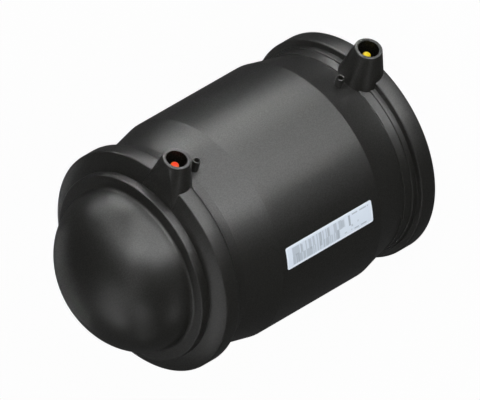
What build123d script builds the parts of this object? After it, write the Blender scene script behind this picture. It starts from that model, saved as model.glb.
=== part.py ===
from build123d import *
import math
import os

os.makedirs("parts", exist_ok=True)

# Electrofusion end cap for 90 mm polyethylene pipe, in millimetres.
# The origin is the centre of the open mouth, +Z runs along the axis to the dome,
# and both terminal shrouds point towards +X.

# Pipe and fits
pipe_diameter = 90.0
socket_clearance = 0.3  # radial, round the pipe that is pushed in
plug_clearance = 0.1  # radial, round the dome plug
insert_clearance = 0.05  # round the terminal pins and the indicator pins
wire_clearance = 0.03  # round the wire in its groove
plug_end_gap = 0.5  # between the plug's inner end and the pipe stop

# Coupler body, outside, from the mouth to the dome end; each step is a depth below the barrel
body_wall = 10.7  # at the mouth rim, the barrel and the dome-end flange
rim_width = 9.2
rib_step = 3.6
rib_width = 2.8
band_step = 4.1
band_width = 4.5
mouth_waist_step = 4.6
mouth_taper_length = 19.7
barrel_length = 64.5
dome_taper_length = 20.4
neck_step = 4.4
neck_width = 7.4
flange_width = 9.1
flange_crown = 3.2  # rise of the conical end face, from the flange's edge to the collar
edge_radius = 0.9  # moulded edges of the rim and the flange

# Coupler body, inside
entry_chamfer_depth = 2.0
entry_chamfer_width = 1.2
stop_height = 2.2
stop_width = 4.0

# Dome plug
plug_wall = 8.2
plug_lead_in = 1.5
collar_overlap = 2.0  # of the collar on the body's end face
collar_height = 4.5
collar_edge_radius = 0.6
dome_inset = 4.4  # from the spigot's face
dome_height = 29.8
dome_root_radius = 1.6
cavity_shoulder_drop = 8.0  # from the collar's seat down to where the cavity starts to close

# Terminal shrouds: radial cones with a blind well, cut off at the body's end planes
mouth_shroud_inset = 8.1  # from the mouth plane
dome_shroud_inset = 6.8  # from the dome end of the body
shroud_rise = 13.0  # from the barrel to the shroud's mouth
shroud_mouth_radius = 6.65
shroud_draft = 15.0  # degrees
shroud_lip_radius = 0.4
shroud_well_radius = 5.03
shroud_well_depth = 13.0
shroud_root_margin = 0.5  # between the bore and the cone's foot inside the wall

# Terminal pins and their coloured tips
pin_radius = 2.0
pin_barrel_radius = 2.6  # the part held in the wall
pin_foot_radius = 3.2
pin_foot_height = 1.6
pin_nose_radius = 1.2
pin_nose_length = 3.2
tip_height = 4.5
tip_edge_radius = 0.8
tip_recess = 3.8  # below the shroud's mouth

# Resistance wire
wire_size = 1.0
zone_inset = 20.0  # from each end of the body to its fusion zone
zone_length = 27.0
zone_turns = 6
lead_depth = 0.6  # how far the leads lie behind the face of the turns

# Fusion indicators
mouth_indicator_inset = 23.6
dome_indicator_inset = 22.8
indicator_rise = 2.4  # of the stubs above the barrel
indicator_stub_radius = 2.0
indicator_well_radius = 1.25
indicator_floor = 1.6  # plastic left between the wire and the well
indicator_pin_length = 6.0

# Barcode label on the barrel
label_length = 56.0
label_width = 11.4
label_thickness = 0.2
label_inset = 41.8  # from the mouth plane
label_angle = 64.6  # degrees round from the shrouds, towards -Y

# Places worked out from the sizes above
bore_radius = pipe_diameter / 2 + socket_clearance
body_radius = bore_radius + body_wall
rib_radius = body_radius - rib_step
band_radius = body_radius - band_step
mouth_waist_radius = body_radius - mouth_waist_step
neck_radius = body_radius - neck_step
spigot_radius = bore_radius - plug_clearance
collar_radius = bore_radius + collar_overlap
dome_radius = spigot_radius - dome_inset
cavity_radius = spigot_radius - plug_wall
z_rib = rim_width
z_band = z_rib + rib_width
z_mouth_taper = z_band + band_width
z_barrel = z_mouth_taper + mouth_taper_length
z_dome_taper = z_barrel + barrel_length
z_neck = z_dome_taper + dome_taper_length
z_flange = z_neck + neck_width
z_crown = z_flange + flange_width
body_length = z_crown + flange_crown
stop_bottom = (body_length - stop_width) / 2
stop_top = stop_bottom + stop_width
plug_end = stop_top + plug_end_gap
collar_top = body_length + collar_height
dome_apex = collar_top + dome_height
cavity_shoulder = body_length - cavity_shoulder_drop
cavity_apex = dome_apex - plug_wall
shroud_heights = (mouth_shroud_inset, body_length - dome_shroud_inset)
indicator_heights = (mouth_indicator_inset, body_length - dome_indicator_inset)
zone_starts = (zone_inset, body_length - zone_inset - zone_length)
shroud_reach = body_radius + shroud_rise
shroud_root = bore_radius + shroud_root_margin
shroud_length = shroud_reach - shroud_root
shroud_root_radius = shroud_mouth_radius + shroud_length * math.tan(math.radians(shroud_draft))
lead_axis = bore_radius + lead_depth + wire_size / 2
pin_floor = lead_axis + wire_size / 2
pin_foot_top = pin_floor + pin_foot_height
well_floor = shroud_reach - shroud_well_depth
tip_top = shroud_reach - tip_recess
tip_bottom = tip_top - tip_height
nose_top = tip_bottom + pin_nose_length
indicator_reach = body_radius + indicator_rise
indicator_floor_reach = bore_radius + wire_size + indicator_floor


def radial_plane(height, reach):
    """Sketch plane that faces +X, at a height on the axis and a distance from it."""
    return Plane(origin=(reach, 0, height), x_dir=(0, 1, 0), z_dir=(1, 0, 0))


def radial_axis(height):
    """Line through the body's axis along +X, which the pins and wells share."""
    return Axis(origin=(0, 0, height), direction=(1, 0, 0))


# Heating coil: one wire, wound in two zones, with a lead to each pin and a bridge between
lead_runs = (
    (shroud_heights[0], zone_starts[0]),
    (zone_starts[0] + zone_length, zone_starts[1]),
    (zone_starts[1] + zone_length, shroud_heights[1]),
)


def wound_wire(clearance):
    """The wire's whole run, thickened by a clearance where it cuts its own groove."""
    side = wire_size + 2 * clearance
    with BuildPart() as wire:
        for zone_start in zone_starts:
            with BuildLine(Plane.XY.offset(zone_start)) as winding:
                Helix(
                    pitch=zone_length / zone_turns,
                    height=zone_length,
                    radius=bore_radius + wire_size / 2,
                )
            with BuildSketch(Plane(origin=winding.line @ 0, x_dir=(1, 0, 0), z_dir=winding.line % 0)):
                Rectangle(side, side)
            sweep(path=winding.line, is_frenet=True)
        for run_start, run_end in lead_runs:
            with BuildSketch(Plane.XY.offset(run_start - side / 2)):
                with Locations((lead_axis, 0)):
                    Rectangle(side, side)
            extrude(amount=run_end - run_start + side)
    return wire.part


with BuildPart() as heating_coil:
    add(wound_wire(0))
heating_coil.part.label = "heating_coil"
export_step(heating_coil.part, "parts/heating_coil.step")

# Coupler body: shrouds, turned outside, indicator stubs, then the bore and the wells
with BuildPart() as coupler_body:
    for height in shroud_heights:
        with Locations(radial_plane(height, shroud_root)):
            Cone(
                bottom_radius=shroud_root_radius,
                top_radius=shroud_mouth_radius,
                height=shroud_length,
                align=(Align.CENTER, Align.CENTER, Align.MIN),
            )
    fillet(coupler_body.edges().group_by(Axis.X)[-1], radius=shroud_lip_radius)
    split(bisect_by=Plane.XY, keep=Keep.TOP)
    split(bisect_by=Plane.XY.offset(body_length), keep=Keep.BOTTOM)

    with BuildSketch(Plane.XZ) as outside:
        with BuildLine():
            Polyline(
                (0, 0),
                (body_radius, 0),
                (body_radius, z_rib),
                (rib_radius, z_rib),
                (rib_radius, z_band),
                (band_radius, z_band),
                (band_radius, z_mouth_taper),
                (mouth_waist_radius, z_mouth_taper),
                (body_radius, z_barrel),
                (body_radius, z_dome_taper),
                (neck_radius, z_neck),
                (neck_radius, z_flange),
                (body_radius, z_flange),
                (body_radius, z_crown),
                (collar_radius, body_length),
                (0, body_length),
                close=True,
            )
        make_face()
        rim_corners = outside.vertices().group_by(Axis.X)[-1].sort_by(Axis.Y)
        fillet(rim_corners[:2] + rim_corners[-2:], radius=edge_radius)
    revolve(axis=Axis.Z)

    for height in indicator_heights:
        with BuildSketch(radial_plane(height, indicator_floor_reach)):
            Circle(indicator_stub_radius)
        extrude(amount=indicator_reach - indicator_floor_reach)

    with BuildSketch(Plane.XZ):
        with BuildLine():
            Polyline(
                (0, 0),
                (bore_radius + entry_chamfer_width, 0),
                (bore_radius, entry_chamfer_depth),
                (bore_radius, stop_bottom),
                (bore_radius - stop_height, stop_bottom),
                (bore_radius - stop_height, stop_top),
                (bore_radius, stop_top),
                (bore_radius, body_length),
                (0, body_length),
                close=True,
            )
        make_face()
    revolve(axis=Axis.Z, mode=Mode.SUBTRACT)

    for height in shroud_heights:
        with BuildSketch(radial_plane(height, shroud_reach)):
            Circle(shroud_well_radius)
        extrude(amount=-shroud_well_depth, mode=Mode.SUBTRACT)
        with BuildSketch(radial_plane(height, pin_floor)):
            Circle(pin_barrel_radius + insert_clearance)
        extrude(amount=well_floor - pin_floor, mode=Mode.SUBTRACT)
        with BuildSketch(radial_plane(height, pin_floor)):
            Circle(pin_foot_radius + insert_clearance)
        extrude(amount=pin_foot_height + insert_clearance, mode=Mode.SUBTRACT)
    for height in indicator_heights:
        with BuildSketch(radial_plane(height, indicator_floor_reach)):
            Circle(indicator_well_radius)
        extrude(amount=indicator_reach - indicator_floor_reach, mode=Mode.SUBTRACT)
    add(wound_wire(wire_clearance), mode=Mode.SUBTRACT)
coupler_body.part.label = "coupler_body"
export_step(coupler_body.part, "parts/coupler_body.step")

# Dome plug: spigot, collar that seats on the body's end, and the hollow dome
with BuildPart() as dome_plug:
    with BuildSketch(Plane.XZ):
        with BuildLine():
            Polyline(
                (cavity_radius, cavity_shoulder),
                (cavity_radius, plug_end),
                (spigot_radius - plug_lead_in, plug_end),
                (spigot_radius, plug_end + plug_lead_in),
                (spigot_radius, body_length),
                (collar_radius, body_length),
                (collar_radius, collar_top),
                (dome_radius, collar_top),
            )
            EllipticalCenterArc((0, collar_top), dome_radius, dome_height, 0, arc_size=90)
            Line((0, dome_apex), (0, cavity_apex))
            EllipticalCenterArc(
                (0, cavity_shoulder), cavity_radius, cavity_apex - cavity_shoulder, 90, arc_size=-90
            )
        make_face()
    revolve(axis=Axis.Z)
    collar_edges = dome_plug.edges().filter_by(GeomType.CIRCLE).filter_by_position(
        Axis.Z, collar_top, collar_top
    )
    fillet(collar_edges.sort_by(SortBy.RADIUS)[-1], radius=collar_edge_radius)
    root_edges = dome_plug.edges().filter_by(GeomType.CIRCLE).filter_by_position(
        Axis.Z, collar_top, collar_top
    )
    fillet(root_edges.sort_by(SortBy.RADIUS)[0], radius=dome_root_radius)
dome_plug.part.label = "dome_plug"
export_step(dome_plug.part, "parts/dome_plug.step")

# Terminal pins with a foot in the wall, and the coloured tips on their noses
for end, height in zip(("mouth", "dome"), shroud_heights):
    with BuildPart() as terminal_pin:
        with BuildSketch(Plane.XZ):
            with BuildLine():
                Polyline(
                    (pin_floor, height),
                    (pin_floor, height + pin_foot_radius),
                    (pin_foot_top, height + pin_foot_radius),
                    (pin_foot_top, height + pin_barrel_radius),
                    (well_floor, height + pin_barrel_radius),
                    (well_floor, height + pin_radius),
                    (tip_bottom, height + pin_radius),
                    (tip_bottom, height + pin_nose_radius),
                    (nose_top, height + pin_nose_radius),
                    (nose_top, height),
                    close=True,
                )
            make_face()
        revolve(axis=radial_axis(height))
    terminal_pin.part.label = end + "_terminal_pin"
    export_step(terminal_pin.part, "parts/" + terminal_pin.part.label + ".step")

    with BuildPart() as pin_tip:
        with BuildSketch(radial_plane(height, tip_bottom)):
            Circle(pin_radius)
        extrude(amount=tip_height)
        fillet(pin_tip.edges().group_by(Axis.X)[-1], radius=tip_edge_radius)
        with BuildSketch(radial_plane(height, tip_bottom)):
            Circle(pin_nose_radius + insert_clearance)
        extrude(amount=pin_nose_length + insert_clearance, mode=Mode.SUBTRACT)
    pin_tip.part.label = end + "_pin_tip"
    export_step(pin_tip.part, "parts/" + pin_tip.part.label + ".step")

# Fusion indicators: plain pins at the bottom of their wells
for end, height in zip(("mouth", "dome"), indicator_heights):
    with BuildPart() as indicator_pin:
        with BuildSketch(radial_plane(height, indicator_floor_reach)):
            Circle(indicator_well_radius - insert_clearance)
        extrude(amount=indicator_pin_length)
    indicator_pin.part.label = end + "_fusion_indicator"
    export_step(indicator_pin.part, "parts/" + indicator_pin.part.label + ".step")

# Barcode label: a thin strip that follows the barrel
label_span = math.degrees(label_width / body_radius)
label_first_angle = math.radians(-label_angle - label_span / 2)
label_plane = Plane(
    origin=(0, 0, label_inset),
    x_dir=(math.cos(label_first_angle), math.sin(label_first_angle), 0),
    z_dir=(math.sin(label_first_angle), -math.cos(label_first_angle), 0),
)
with BuildPart() as barcode_label:
    with BuildSketch(label_plane):
        with Locations((body_radius, 0)):
            Rectangle(label_thickness, label_length, align=(Align.MIN, Align.MIN))
    revolve(axis=Axis.Z, revolution_arc=label_span)
barcode_label.part.label = "barcode_label"
export_step(barcode_label.part, "parts/barcode_label.step")
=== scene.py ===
import math

import bmesh
import bpy
from mathutils import Matrix, Vector


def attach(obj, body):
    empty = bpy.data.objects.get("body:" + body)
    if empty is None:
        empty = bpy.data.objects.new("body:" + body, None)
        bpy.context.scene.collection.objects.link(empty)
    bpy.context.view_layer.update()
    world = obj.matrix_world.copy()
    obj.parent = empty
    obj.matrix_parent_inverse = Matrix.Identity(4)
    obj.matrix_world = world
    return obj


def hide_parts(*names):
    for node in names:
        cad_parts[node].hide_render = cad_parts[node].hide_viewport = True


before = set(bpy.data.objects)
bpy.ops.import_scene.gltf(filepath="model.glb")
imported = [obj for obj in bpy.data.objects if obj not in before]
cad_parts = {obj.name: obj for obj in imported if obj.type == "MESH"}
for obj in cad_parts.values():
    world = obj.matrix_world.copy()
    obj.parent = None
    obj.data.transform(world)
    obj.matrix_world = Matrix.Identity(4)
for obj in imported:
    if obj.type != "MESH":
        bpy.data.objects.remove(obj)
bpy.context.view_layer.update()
mm = 0.001
scene = bpy.context.scene
scene.view_settings.view_transform = "Standard"
print("packed nodes:", len(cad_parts))

# The camera looks down a body diagonal from far away, so the view is close to parallel.
camera = {
    "lens": 1400,
    "sensor": 36,
    "distance": 8.695,  # in metres; lookAt is in mm
    "lookAt": (0.31, 1.47, 71.7),
    "right": (0.1996, -0.6784, -0.7071),
    "up": (0.6681, 0.6222, -0.4082),
    "back": (0.7169, -0.3909, 0.5774),
    "clipEnd": 30,
}


def placeCamera():
    data = bpy.data.cameras.new("camera")
    data.lens = camera["lens"]
    data.sensor_width = camera["sensor"]
    data.clip_end = camera["clipEnd"]
    view = bpy.data.objects.new("camera", data)
    scene.collection.objects.link(view)
    turn = Matrix((camera["right"], camera["up"], camera["back"])).transposed()
    place = Vector(camera["lookAt"]) * mm + Vector(camera["back"]) * camera["distance"]
    view.matrix_world = Matrix.Translation(place) @ turn.to_4x4()
    scene.camera = view


placeCamera()
print("camera placed")


# A socket whose operators add Math nodes to its own tree.
class Field:
    def __init__(self, tree, socket):
        self.tree = tree
        self.socket = socket

    def math(self, operation, other, swapped=False):
        node = self.tree.nodes.new("ShaderNodeMath")
        node.operation = operation
        pair = (other, self) if swapped else (self, other)
        for socket, value in zip(node.inputs, pair):
            feed(self.tree, socket, value)
        return Field(self.tree, node.outputs[0])

    def clamped(self):
        return self.math("MAXIMUM", 0).math("MINIMUM", 1)

    def __add__(self, other):
        return self.math("ADD", other)

    def __sub__(self, other):
        return self.math("SUBTRACT", other)

    def __rsub__(self, other):
        return self.math("SUBTRACT", other, True)

    def __mul__(self, other):
        return self.math("MULTIPLY", other)

    def __truediv__(self, other):
        return self.math("DIVIDE", other)

    def __rtruediv__(self, other):
        return self.math("DIVIDE", other, True)

    def __gt__(self, other):
        return self.math("GREATER_THAN", other)

    def __lt__(self, other):
        return self.math("LESS_THAN", other)

    __radd__ = __add__
    __rmul__ = __mul__


def feed(tree, socket, value):
    if isinstance(value, Field):
        tree.links.new(value.socket, socket)
    else:
        socket.default_value = value


# A node tree under construction: node() takes a type, its settings and its sockets.
class Shader:
    def __init__(self, owner):
        owner.use_nodes = True
        self.owner = owner
        self.tree = owner.node_tree
        self.tree.nodes.clear()

    def node(self, kind, settings=None, values=None, output=0):
        made = self.tree.nodes.new("ShaderNode" + kind)
        for name, value in (settings or {}).items():
            setattr(made, name, value)
        for key, value in (values or {}).items():
            feed(self.tree, made.inputs[key], value)
        return Field(self.tree, made.outputs[output]) if made.outputs else None

    # The Mix node has a set of sockets for each kind of data; 6, 7 and 2 are the colours.
    def mix(self, factor, first, second):
        return self.node("Mix", {"data_type": "RGBA"}, {0: factor, 6: first, 7: second}, 2)

    def noise(self, place, scale, detail):
        return self.node("TexNoise", {}, {"Vector": place, "Scale": scale, "Detail": detail})

    def axis(self, place, name):
        return self.node("SeparateXYZ", {}, {"Vector": place}, name)

    def bump(self, height, strength, distance):
        values = {"Height": height, "Strength": strength, "Distance": distance}
        return self.node("Bump", {}, values)

    def principled(self, values):
        surface = self.node("BsdfPrincipled", {}, values)
        self.node("OutputMaterial", {}, {"Surface": surface})
        return self.owner


# A material's empty tree, and the place in metres that its patterns follow.
def newShader(name):
    shader = Shader(bpy.data.materials.new(name))
    return shader, shader.node("TexCoord", output="Object")


# Black polyethylene with the fine grain of a spark-eroded mould. Grain and clouds, from 0 to 1,
# set the colour between deep and pale and add to the roughness; speckle is a glint in the coat.
plastic = {
    "deep": (0.0056, 0.0056, 0.0044, 1),
    "pale": (0.0100, 0.0098, 0.0080, 1),
    "grainScale": 1500,
    "grainDetail": 3,
    "grainShare": 0.6,
    "grainStrength": 0.45,
    "grainDepth": 0.00009,
    "grainRoughness": 0.12,
    "cloudScale": 24,
    "cloudDetail": 3,
    "cloudShare": 0.4,
    "cloudRoughness": 0.04,
    "baseRoughness": 0.27,
    "specular": 0.95,
    "speckleScale": 1750,
    "speckleDetail": 1,
    "speckleSharpness": 4.0,
    "speckleCoat": 0.5,
    "coatRoughness": 0.34,
}


def blackPlastic(name, shade=1.0, specular=plastic["specular"]):
    shader, place = newShader(name)
    grain = shader.noise(place, plastic["grainScale"], plastic["grainDetail"])
    cloud = shader.noise(place, plastic["cloudScale"], plastic["cloudDetail"])
    speckle = shader.noise(place, plastic["speckleScale"], plastic["speckleDetail"])
    speckle = (speckle - 0.5) * plastic["speckleSharpness"] + 0.5
    pale = tuple(part * shade for part in plastic["pale"][:3]) + (1,)
    tone = grain * plastic["grainShare"] + cloud * plastic["cloudShare"]
    uneven = grain * plastic["grainRoughness"] + cloud * plastic["cloudRoughness"]
    return shader.principled({
        "Base Color": shader.mix(tone, plastic["deep"], pale),
        "Roughness": uneven + plastic["baseRoughness"],
        "Specular IOR Level": specular,
        "Coat Weight": speckle.clamped() * plastic["speckleCoat"],
        "Coat Roughness": plastic["coatRoughness"],
        "Normal": shader.bump(grain, plastic["grainStrength"], plastic["grainDepth"]),
    })


# Turned brass and drawn resistance wire, each with its fresh and its worn colour.
metal = {
    "brass": ((0.72, 0.50, 0.20, 1), (0.60, 0.38, 0.14, 1)),
    "wire": ((0.62, 0.33, 0.18, 1), (0.40, 0.20, 0.11, 1)),
    "scratchScale": 900,
    "scratchDetail": 4,
    "scratchStrength": 0.1,
    "scratchDepth": 0.00002,
    "scratchRoughness": 0.2,
    "baseRoughness": 0.18,
}


def metalFinish(name, fresh, worn):
    shader, place = newShader(name)
    scratch = shader.noise(place, metal["scratchScale"], metal["scratchDetail"])
    return shader.principled({
        "Base Color": shader.mix(scratch, fresh, worn),
        "Metallic": 1.0,
        "Roughness": scratch * metal["scratchRoughness"] + metal["baseRoughness"],
        "Normal": shader.bump(scratch, metal["scratchStrength"], metal["scratchDepth"]),
    })


# Moulded plastic of the tips that code the two terminals; rimStart and rimWidth are in mm.
tipFinish = {
    "grainScale": 2500,
    "grainDetail": 2,
    "grainStrength": 0.08,
    "grainDepth": 0.00003,
    "grainRoughness": 0.12,
    "baseRoughness": 0.28,
    "specular": 0.2,
    "coat": 0.6,
    "coatRoughness": 0.12,
    "rimStart": 1.1,
    "rimWidth": 0.7,
}


# The colour goes from middle to rim with the distance from the tip's axis, which runs along X.
def tipPlastic(name, height, middle, rim):
    shader, place = newShader(name)
    across = shader.axis(place, "Y")
    up = shader.axis(place, "Z") - height * mm
    distance = (across * across + up * up).math("POWER", 0.5) / mm
    ring = (distance - tipFinish["rimStart"]) / tipFinish["rimWidth"]
    grain = shader.noise(place, tipFinish["grainScale"], tipFinish["grainDetail"])
    return shader.principled({
        "Base Color": shader.mix(ring.clamped(), middle, rim),
        "Roughness": grain * tipFinish["grainRoughness"] + tipFinish["baseRoughness"],
        "Specular IOR Level": tipFinish["specular"],
        "Coat Weight": tipFinish["coat"],
        "Coat Roughness": tipFinish["coatRoughness"],
        "Normal": shader.bump(grain, tipFinish["grainStrength"], tipFinish["grainDepth"]),
    })


print("shader tools ready")

# Outlines are in mm. A radius under axisRadius lies on the axis; weld is in metres.
meshing = {
    "arcSteps": 4,
    "axisRadius": 0.000001,
    "creaseAngle": 30,
    "weld": 0.000001,
}


# Corners are (radius, height) or (radius, height, rounding); a rounded one becomes a short arc.
def roundedOutline(corners):
    steps = meshing["arcSteps"]
    outline = []
    for index, corner in enumerate(corners):
        here = Vector(corner[:2])
        if len(corner) < 3:
            outline.append(here)
            continue
        back = (Vector(corners[index - 1][:2]) - here).normalized()
        ahead = (Vector(corners[(index + 1) % len(corners)][:2]) - here).normalized()
        half = back.angle(ahead) / 2
        centre = here + (back + ahead).normalized() * corner[2] / math.sin(half)
        first = here + back * corner[2] / math.tan(half) - centre
        last = here + ahead * corner[2] / math.tan(half) - centre
        start = math.atan2(first.y, first.x)
        sweep = (math.atan2(last.y, last.x) - start + math.pi) % math.tau - math.pi
        for step in range(steps + 1):
            angle = start + sweep * step / steps
            outline.append(centre + Vector((math.cos(angle), math.sin(angle))) * corner[2])
    return outline


# Angles are in degrees from the horizontal.
def ellipseArc(centreHeight, radius, rise, first, last, steps):
    angles = [math.radians(first + (last - first) * step / steps) for step in range(steps + 1)]
    return [(radius * math.cos(angle), centreHeight + rise * math.sin(angle)) for angle in angles]


# A closed outline of (radius, height) turned round an axis; place carries it from +Z.
def turnOutline(shell, outline, segments, place=Matrix.Identity(4)):
    rings = []
    for radius, height in outline:
        count = segments if radius > meshing["axisRadius"] else 1
        ring = []
        for step in range(count):
            angle = math.tau * step / count
            point = Vector((radius * math.cos(angle), radius * math.sin(angle), height))
            ring.append(shell.verts.new(place @ point * mm))
        rings.append(ring)
    for low, high in zip(rings, rings[1:] + rings[:1]):
        for step in range(segments):
            corners = [low[step % len(low)], low[(step + 1) % len(low)]]
            corners += [high[(step + 1) % len(high)], high[step % len(high)]]
            corners = list(dict.fromkeys(corners))
            if len(corners) > 2:
                shell.faces.new(corners)


# Turns +Z to +X, for parts that stand out of the body's side at a height.
def radialPlace(height):
    turn = Matrix(((0, 0, 1), (1, 0, 0), (0, 1, 0)))
    return Matrix.Translation((0, 0, height)) @ turn.to_4x4()


def turnRadial(shell, part, outline):
    for height in part["heights"].values():
        turnOutline(shell, roundedOutline(part[outline]), part["segments"], radialPlace(height))


def newObject(name, shell):
    bmesh.ops.recalc_face_normals(shell, faces=shell.faces)
    mesh = bpy.data.meshes.new(name)
    shell.to_mesh(mesh)
    shell.free()
    made = bpy.data.objects.new(name, mesh)
    scene.collection.objects.link(made)
    return made


def finalMesh(source):
    bpy.context.view_layer.update()
    made = source.evaluated_get(bpy.context.evaluated_depsgraph_get())
    return bpy.data.meshes.new_from_object(made)


# The boolean leaves slivers where the two meshes touch, and the weld takes them out.
def carve(target, tool, operation):
    cut = target.modifiers.new(operation, "BOOLEAN")
    cut.operation = operation
    cut.solver = "EXACT"
    cut.object = tool
    target.data = finalMesh(target)
    target.modifiers.clear()
    shell = bmesh.new()
    shell.from_mesh(target.data)
    bmesh.ops.remove_doubles(shell, verts=shell.verts, dist=meshing["weld"])
    shell.to_mesh(target.data)
    shell.free()
    bpy.data.objects.remove(tool)


def dress(piece, material, node, creaseAngle=meshing["creaseAngle"]):
    mesh = piece.data
    mesh.materials.clear()
    mesh.materials.append(material)
    mesh.polygons.foreach_set("use_smooth", [True] * len(mesh.polygons))
    mesh.set_sharp_from_angle(angle=math.radians(creaseAngle))
    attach(piece, "root")
    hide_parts(node)


# Coupler body: one moulding, turned outside, with shrouds and indicator stubs on its +X side.
# From the mouth up: rim, two ribs, taper, barrel, taper, neck, flange and its end face.
body = {
    "segments": 288,
    "outside": [
        (46.5, 0, 0.3), (56, 0, 0.9), (56, 9.2, 0.9),
        (52.7, 9.2, 0.25), (52.7, 12, 0.6), (51.9, 12, 0.15), (51.9, 16.5, 0.5), (51.2, 16.5, 0.15),
        (56, 36.2, 1.5), (56, 100.7, 1.5), (51.6, 121.1, 0.5), (51.6, 128.5, 0.25),
        (56, 128.5, 1.8), (56, 137.6, 0.9), (47.3, 140.8), (45.3, 140.8),
    ],
    "inside": [
        (45.3, 72.4, 0.3), (43.1, 72.4, 0.4), (43.1, 68.4, 0.4), (45.3, 68.4, 0.3), (45.3, 2),
    ],
    "length": 140.8,
}
# In these outlines the height runs out from the body's axis. The cones end at the mouth's and
# # the flange's planes, less trim, and the wells' walls are matt and painted darker, as painted
# # shade inside the recesses.
shroud = {
    "segments": 96,
    "heights": {"mouth": 8.1, "dome": 134.0},
    "cone": [(0, 45.8), (12.3, 45.8), (6.65, 69, 0.4), (0, 69)],
    "well": [
        (0, 46.9), (3.25, 46.9), (3.25, 48.55), (2.65, 48.55), (2.65, 56),
        (5.03, 56, 0.4), (5.03, 68.7), (5.09, 68.88), (5.24, 69), (5.3, 70), (0, 70),
    ],
    "trim": 0.01,
    "wellWall": 5.15,
    "wellTop": 68.75,
    "wellPaintedShade": 0.4,
    "wellSpecular": 0.08,
}
indicator = {
    "segments": 48,
    "heights": {"mouth": 23.6, "dome": 118.0},
    "stub": [(0, 47.9), (2, 47.9), (2, 58.4, 0.3), (0, 58.4)],
    "well": [
        (0, 47.9), (1.25, 47.9), (1.25, 58.2), (1.31, 58.36), (1.45, 58.41), (1.45, 59), (0, 59),
    ],
    "pinShade": 0.8,
}
winding = {
    "starts": (20.0, 93.8),
    "length": 27.0,
    "turns": 6,
    "stepsPerTurn": 96,
    "radius": 45.8,
    "wire": 0.5,
    "wireSmoothness": 2,
    "wireCrease": 60,
    "leadRadius": 46.4,
    "leadRun": 1,  # height over which a lead steps in to the winding
    "grooveHalf": 0.56,
    "grooveOpen": -0.9,
    "grooveSteps": 8,
}


def windingPath(start):
    path = []
    for step in range(winding["turns"] * winding["stepsPerTurn"] + 1):
        share = step / winding["stepsPerTurn"]
        height = start + winding["length"] * share / winding["turns"]
        path.append((math.tau * share, height))
    return path


# The groove is open to the bore and round at its bottom.
def sweepGroove(shell, start):
    half = winding["grooveHalf"]
    steps = winding["grooveSteps"]
    section = [(winding["grooveOpen"], -half), (winding["grooveOpen"], half)]
    for step in range(steps + 1):
        angle = math.pi / 2 - math.pi * step / steps
        section.append((half * math.cos(angle), half * math.sin(angle)))
    rings = []
    for angle, height in windingPath(start):
        ring = []
        for out, along in section:
            radius = winding["radius"] + out
            point = (radius * math.cos(angle), radius * math.sin(angle), height + along)
            ring.append(shell.verts.new(Vector(point) * mm))
        rings.append(ring)
    for low, high in zip(rings, rings[1:]):
        for step in range(len(section)):
            after = (step + 1) % len(section)
            shell.faces.new((low[step], low[after], high[after], high[step]))
    shell.faces.new(rings[0])
    shell.faces.new(rings[-1])


def trimToBody(shell):
    low = shroud["trim"] * mm
    high = (body["length"] - shroud["trim"]) * mm
    for height, outwards in ((low, -1), (high, 1)):
        everything = shell.verts[:] + shell.edges[:] + shell.faces[:]
        cut = bmesh.ops.bisect_plane(
            shell, geom=everything, plane_co=(0, 0, height), plane_no=(0, 0, outwards),
            clear_outer=True)
        edges = [part for part in cut["geom_cut"] if isinstance(part, bmesh.types.BMEdge)]
        if edges:
            bmesh.ops.holes_fill(shell, edges=edges)


# The walls of the shrouds' wells take the second material, a darker and duller plastic that
# # paints the shade inside the recesses.
def shadeWells(piece, material):
    piece.data.materials.append(material)
    for face in piece.data.polygons:
        place = face.center / mm
        for height in shroud["heights"].values():
            distance = math.hypot(place.y, place.z - height)
            if 0 < place.x < shroud["wellTop"] and distance < shroud["wellWall"]:
                face.material_index = 1


def makeBody(material, wellShadedMaterial):
    shell = bmesh.new()
    turnOutline(shell, roundedOutline(body["outside"] + body["inside"]), body["segments"])
    piece = newObject("body", shell)

    added = bmesh.new()
    turnRadial(added, shroud, "cone")
    trimToBody(added)
    turnRadial(added, indicator, "stub")
    carve(piece, newObject("shroudsAdded", added), "UNION")

    removed = bmesh.new()
    turnRadial(removed, shroud, "well")
    turnRadial(removed, indicator, "well")
    for start in winding["starts"]:
        sweepGroove(removed, start)
    carve(piece, newObject("hollows", removed), "DIFFERENCE")
    dress(piece, material, "coupler_body")
    # The wells' walls get the darker plastic, as painted shade in the recesses.
    shadeWells(piece, wellShadedMaterial)
    print("body faces:", len(piece.data.polygons))


# Dome plug: spigot, collar and hollow dome.
plug = {
    "segments": 256,
    "spigot": [(37, 132.8), (37, 72.9, 0.4), (43.7, 72.9), (45.2, 74.4), (45.2, 140.8)],
    "collar": [(47.3, 140.8), (47.3, 145.3, 0.6), (40.8, 145.3, 1.6)],
    "dome": {
        "centreHeight": 145.3, "radius": 40.8, "rise": 29.8, "first": 6, "last": 90, "steps": 56,
    },
    "hollow": {
        "centreHeight": 132.8, "radius": 37, "rise": 34.1, "first": 90, "last": 3, "steps": 40,
    },
}


def makePlug(material):
    corners = plug["spigot"] + plug["collar"]
    corners += ellipseArc(**plug["dome"]) + ellipseArc(**plug["hollow"])
    shell = bmesh.new()
    turnOutline(shell, roundedOutline(corners), plug["segments"])
    piece = newObject("dome", shell)
    dress(piece, material, "dome_plug")
    print("dome faces:", len(piece.data.polygons))


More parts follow.
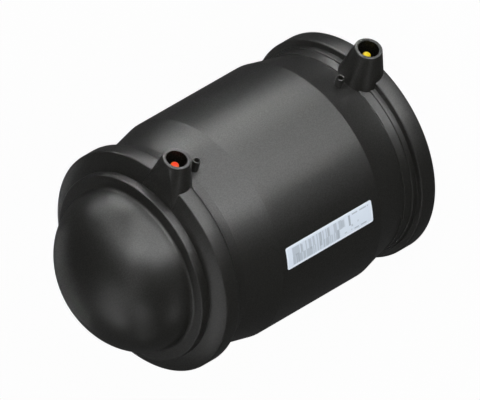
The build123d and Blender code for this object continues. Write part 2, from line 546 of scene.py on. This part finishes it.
# Heating wire: one round wire from the mouth terminal through both windings to the dome terminal.
def makeWire(material):
    radius = winding["radius"]
    lead = winding["leadRadius"]
    points = [(lead, 0, shroud["heights"]["mouth"])]
    for start in winding["starts"]:
        points.append((lead, 0, start - winding["leadRun"]))
        for angle, height in windingPath(start):
            points.append((radius * math.cos(angle), radius * math.sin(angle), height))
        points.append((lead, 0, start + winding["length"] + winding["leadRun"]))
    points.append((lead, 0, shroud["heights"]["dome"]))
    line = bpy.data.curves.new("wire", "CURVE")
    line.dimensions = "3D"
    line.bevel_depth = winding["wire"] * mm
    line.bevel_resolution = winding["wireSmoothness"]
    line.use_fill_caps = True
    spline = line.splines.new("POLY")
    spline.points.add(len(points) - 1)
    for slot, point in zip(spline.points, points):
        slot.co = (*(Vector(point) * mm), 1)
    source = bpy.data.objects.new("wireLine", line)
    scene.collection.objects.link(source)
    mesh = finalMesh(source)
    bpy.data.objects.remove(source)
    piece = bpy.data.objects.new("heatingWire", mesh)
    scene.collection.objects.link(piece)
    dress(piece, material, "heating_coil", winding["wireCrease"])
    print("wire faces:", len(mesh.polygons))


# Coloured tips: domed caps with a moulded dimple, on the pins' noses.
tips = {
    "segments": 64,
    "crease": 50,
    "outline": [
        (1.25, 60.7), (2, 60.7, 0.15), (2, 65.2, 0.75), (0.75, 65.2, 0.12),
        (0.5, 65.02, 0.1), (0, 65.02), (0, 63.95), (1.25, 63.95),
    ],
    "mouth": {
        "slot": "yellow_tip", "middle": (0.95, 0.72, 0.008, 1), "rim": (0.72, 0.50, 0.006, 1),
    },
    "dome": {
        "slot": "red_tip", "middle": (1.0, 0.055, 0.018, 1), "rim": (1.0, 0.17, 0.010, 1),
    },
}


def makeTip(end):
    height = shroud["heights"][end]
    shell = bmesh.new()
    turnOutline(shell, roundedOutline(tips["outline"]), tips["segments"], radialPlace(height))
    piece = newObject(end + "Tip", shell)
    colours = tips[end]
    material = tipPlastic(end + "TipPlastic", height, colours["middle"], colours["rim"])
    dress(piece, material, end + "_pin_tip", tips["crease"])


# Barcode label: pale film with bars and small grey print blocks, wrapped on the barrel.
# Print lies between two places along and two places across, in mm from the lower left corner.
label = {
    "radius": 56.0,
    "thickness": 0.2,
    "low": 41.8,
    "high": 97.8,
    "width": 11.4,
    "centreAngle": -64.6,
    "corner": 0.7,
    "columns": 30,
    "crease": 40,
    "film": (0.62, 0.69, 0.78, 1),
    "filmEdge": (0.72, 0.78, 0.86, 1),
    "border": 0.8,
    "smearScale": 180,
    "smearRoughness": 0.12,
    "baseRoughness": 0.29,
    "grainScale": 700,
    "noiseDetail": 2,
    "grainStrength": 0.05,
    "grainDepth": 0.00003,
    "ink": (0.13, 0.16, 0.19, 1),
    "inkShare": 0.58,
    # Two bar codes side by side: along, across, bar width, share of bars, bar ink, gap ink.
    "codes": [
        ((21.5, 52.3), (1.3, 5.4), 0.55, 0.6, 0.5, 0.25),
        ((17.6, 52.3), (5.4, 10.0), 0.66, 0.5, 0.5, 0.2),
    ],
    # A few wide bars: along, across, ink.
    "bars": [
        ((48.2, 50.4), (1.3, 6.2), 0.4),
        ((45.4, 46.6), (5.4, 9.4), 0.6),
        ((39.8, 41.0), (4.2, 9.6), 0.5),
        ((33.2, 34.8), (3.0, 9.9), 0.6),
        ((28.4, 29.4), (1.6, 9.6), 0.35),
        ((21.9, 23.2), (1.3, 6.0), 0.7),
        ((18.2, 20.0), (5.8, 9.4), 0.5),
        ((14.2, 15.4), (4.6, 9.9), 1.0),
        ((12.9, 14.0), (3.6, 4.8), 0.6),
        ((9.0, 10.0), (4.4, 5.4), 0.4),
    ],
    # Thin dashed lines: along, across, ink.
    "dashWidth": 0.715,
    "dashShare": 0.62,
    "dashes": [
        ((2.2, 12.8), (9.3, 10.0), 0.8),
        ((4.2, 12.2), (1.6, 2.3), 0.8),
        ((12.8, 19.4), (1.9, 2.6), 0.6),
    ],
}


def makeLabelMesh():
    shell = bmesh.new()
    rows = []
    for step in range(label["columns"] + 1):
        across = label["width"] * (step / label["columns"] - 0.5)
        edge = label["width"] / 2 - abs(across)
        corner = label["corner"]
        inset = corner - math.sqrt(max(corner**2 - max(corner - edge, 0)**2, 0))
        angle = math.radians(label["centreAngle"]) + across / label["radius"]
        row = []
        for radius in (label["radius"], label["radius"] + label["thickness"]):
            for height in (label["low"] + inset, label["high"] - inset):
                point = Vector((radius * math.cos(angle), radius * math.sin(angle), height))
                row.append(shell.verts.new(point * mm))
        rows.append(row)
    for near, far in zip(rows, rows[1:]):
        shell.faces.new((near[2], far[2], far[3], near[3]))
        shell.faces.new((near[0], near[1], far[1], far[0]))
        shell.faces.new((near[0], far[0], far[2], near[2]))
        shell.faces.new((near[1], near[3], far[3], far[1]))
    for row in (rows[0], rows[-1]):
        shell.faces.new((row[0], row[2], row[3], row[1]))
    return newObject("label", shell)


def labelFilm():
    shader, place = newShader("labelFilm")
    along = shader.axis(place, "Z") / mm - label["low"]
    angle = shader.axis(place, "Y").math("ARCTAN2", shader.axis(place, "X"))
    angle = angle - math.radians(label["centreAngle"])
    across = angle * label["radius"] + label["width"] / 2

    def window(value, low, high):
        return (value > low) * (value < high)

    def bars(width, share):
        cell = (along / width).math("FLOOR", 0)
        chance = shader.node("TexWhiteNoise", {"noise_dimensions": "1D"}, {"W": cell})
        return chance > 1 - share

    def block(alongRange, acrossRange, mark):
        return window(along, *alongRange) * window(across, *acrossRange) * mark

    marks = [block(up, side, bars(width, share) * barInk + gapInk)
             for up, side, width, share, barInk, gapInk in label["codes"]]
    marks += [block(up, side, ink) for up, side, ink in label["bars"]]
    dash = bars(label["dashWidth"], label["dashShare"])
    marks += [block(up, side, dash * ink) for up, side, ink in label["dashes"]]
    print("label print blocks:", len(marks))

    border = label["border"]
    inside = window(along, border, label["high"] - label["low"] - border)
    inside = inside * window(across, border, label["width"] - border)
    paper = shader.mix(inside, label["filmEdge"], label["film"])
    inked = sum(marks).math("MINIMUM", 1) * label["inkShare"]
    smear = shader.noise(place, label["smearScale"], label["noiseDetail"])
    grain = shader.noise(place, label["grainScale"], label["noiseDetail"])
    return shader.principled({
        "Base Color": shader.mix(inked, paper, label["ink"]),
        "Roughness": smear * label["smearRoughness"] + label["baseRoughness"],
        "Normal": shader.bump(grain, label["grainStrength"], label["grainDepth"]),
    })


def makeLabel():
    dress(makeLabelMesh(), labelFilm(), "barcode_label", label["crease"])


# The terminal pins and the indicator pins stay as they are and only take a finish.
def finishPins(ending, material):
    for end in shroud["heights"]:
        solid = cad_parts[end + ending]
        solid.data.materials.clear()
        solid.data.materials.append(material)


# The wells' plastic has its colour darkened and its gloss lowered, as painted shade inside the
# shrouds' recesses.
wellShadedPlastic = blackPlastic("wellShadedPlastic", shroud["wellPaintedShade"], shroud["wellSpecular"])
makeBody(blackPlastic("bodyPlastic"), wellShadedPlastic)
makePlug(blackPlastic("plugPlastic"))
makeWire(metalFinish("wireMetal", *metal["wire"]))
for end in shroud["heights"]:
    makeTip(end)
makeLabel()
finishPins("_terminal_pin", metalFinish("pinMetal", *metal["brass"]))
finishPins("_fusion_indicator", blackPlastic("indicatorPlastic", indicator["pinShade"]))
print("pieces made")


# Studio: white floor and white surroundings, a soft key lamp for the plain colours, and cards
# round the object that only the gloss shows. Distances are in metres.
studio = {
    "aim": (0, 0, 0.08),
    "floorSize": 12,
    "floorGap": 0.0002,
    "paper": (0.86, 0.86, 0.86, 1),
    "white": (1, 1, 1, 1),
    "cameraWhite": 0.96,  # share of the floor that the camera sees as plain white
    "cameraSky": 0.985,  # level of the surroundings that the camera sees
    "glossLevel": 0.06,  # of floor and surroundings in reflections
    "worldFill": 0.5,  # of the surroundings as light on plain colours
    "powerPerArea": 4,  # of an area lamp whose radiance is 1
    "key": {"azimuth": -25, "elevation": 25, "distance": 1.8, "size": (1.4, 1.4), "radiance": 3.3},
    "cardDistance": 0.7,
    "cardHeight": 0.25,
    # Each ring is an elevation, the degrees that one card spans, and (azimuth, radiance) pairs.
    "rings": [
        (-30, 30, [(-50, 0.18), (-20, 1.70), (10, 1.30), (40, 1.90), (70, 0.14)]),
        (-10, 20, [(-50, 0.21), (-30, 1.85), (-10, 1.32), (10, 1.42),
                   (30, 0.84), (50, 2.39), (70, 0.51)]),
        (10, 20, [(-110, 0.27), (-90, 0.10), (-30, 1.71), (-10, 0.98), (10, 1.57),
                  (30, 0.32), (50, 0.68), (70, 1.15), (130, 0.25), (150, 0.22)]),
        (30, 20, [(-150, 0.15), (-30, 1.67), (-10, 1.48), (10, 1.17),
                  (30, 0.38), (50, 0.88), (70, 0.11), (150, 0.08)]),
        (50, 20, [(-170, 0.62), (-130, 0.58), (-30, 0.20), (-10, 2.80),
                  (10, 0.74), (30, 0.93), (50, 0.15), (170, 0.21)]),
        (70, 60, [(-170, 0.38), (-110, 0.16), (-50, 0.28), (10, 0.09)]),
    ],
}


def raySockets(shader):
    kinds = ("Camera", "Transmission", "Glossy")
    return [shader.node("LightPath", output="Is " + kind + " Ray") for kind in kinds]


# The floor shows the object's shadow but casts none, because some cards shine from below it.
# The gap keeps it out of the plane of the mouth's face.
def makeFloor():
    shell = bmesh.new()
    bmesh.ops.create_grid(shell, x_segments=1, y_segments=1, size=studio["floorSize"] / 2)
    floor = newObject("floor", shell)
    shader = Shader(bpy.data.materials.new("floorPaper"))
    isCamera, isTransmission, isGlossy = raySockets(shader)
    level = isCamera + isTransmission + isGlossy * studio["glossLevel"]
    paper = shader.node("BsdfDiffuse", {}, {"Color": studio["paper"]})
    glow = shader.node("Emission", {}, {"Strength": level})
    share = isCamera * studio["cameraWhite"] + isTransmission + isGlossy
    surface = shader.node("MixShader", {}, {0: share, 1: paper, 2: glow})
    shader.node("OutputMaterial", {}, {"Surface": surface})
    floor.data.materials.append(shader.owner)
    floor.visible_shadow = False
    floor.location.z = -studio["floorGap"]


def makeWorld():
    world = bpy.data.worlds.new("studio")
    scene.world = world
    shader = Shader(world)
    isCamera, isTransmission, isGlossy = raySockets(shader)
    seen = isCamera * studio["cameraSky"] + isTransmission
    rest = 1 - isCamera - isTransmission - isGlossy
    level = seen + isGlossy * studio["glossLevel"] + rest * studio["worldFill"]
    surface = shader.node("Background", {}, {"Color": studio["white"], "Strength": level})
    shader.node("OutputWorld", {}, {"Surface": surface})


def addLamp(name, azimuth, elevation, distance, size, radiance):
    turn, rise = math.radians(azimuth), math.radians(elevation)
    level = math.cos(rise)
    side = Vector((math.cos(turn) * level, math.sin(turn) * level, math.sin(rise)))
    data = bpy.data.lights.new(name, "AREA")
    data.shape = "RECTANGLE"
    data.size, data.size_y = size
    data.energy = radiance * studio["powerPerArea"] * size[0] * size[1]
    lamp = bpy.data.objects.new(name, data)
    scene.collection.objects.link(lamp)
    lamp.location = Vector(studio["aim"]) + side * distance
    lamp.rotation_euler = (-side).to_track_quat("-Z", "Y").to_euler()
    lamp.visible_camera = False
    return lamp


# With multiple importance sampling the floor would hide part of the lower cards' light.
def makeLamps():
    lamp = addLamp("key", **studio["key"])
    lamp.visible_glossy = False
    reach = studio["cardDistance"]
    for elevation, span, cards in studio["rings"]:
        level = math.cos(math.radians(elevation))
        size = (2 * reach * math.tan(math.radians(span) / 2) * level, studio["cardHeight"])
        for azimuth, radiance in cards:
            card = addLamp("card", azimuth, elevation, reach, size, radiance)
            card.visible_diffuse = False
            card.data.cycles.use_multiple_importance_sampling = False


makeFloor()
makeWorld()
makeLamps()
print("studio lit")
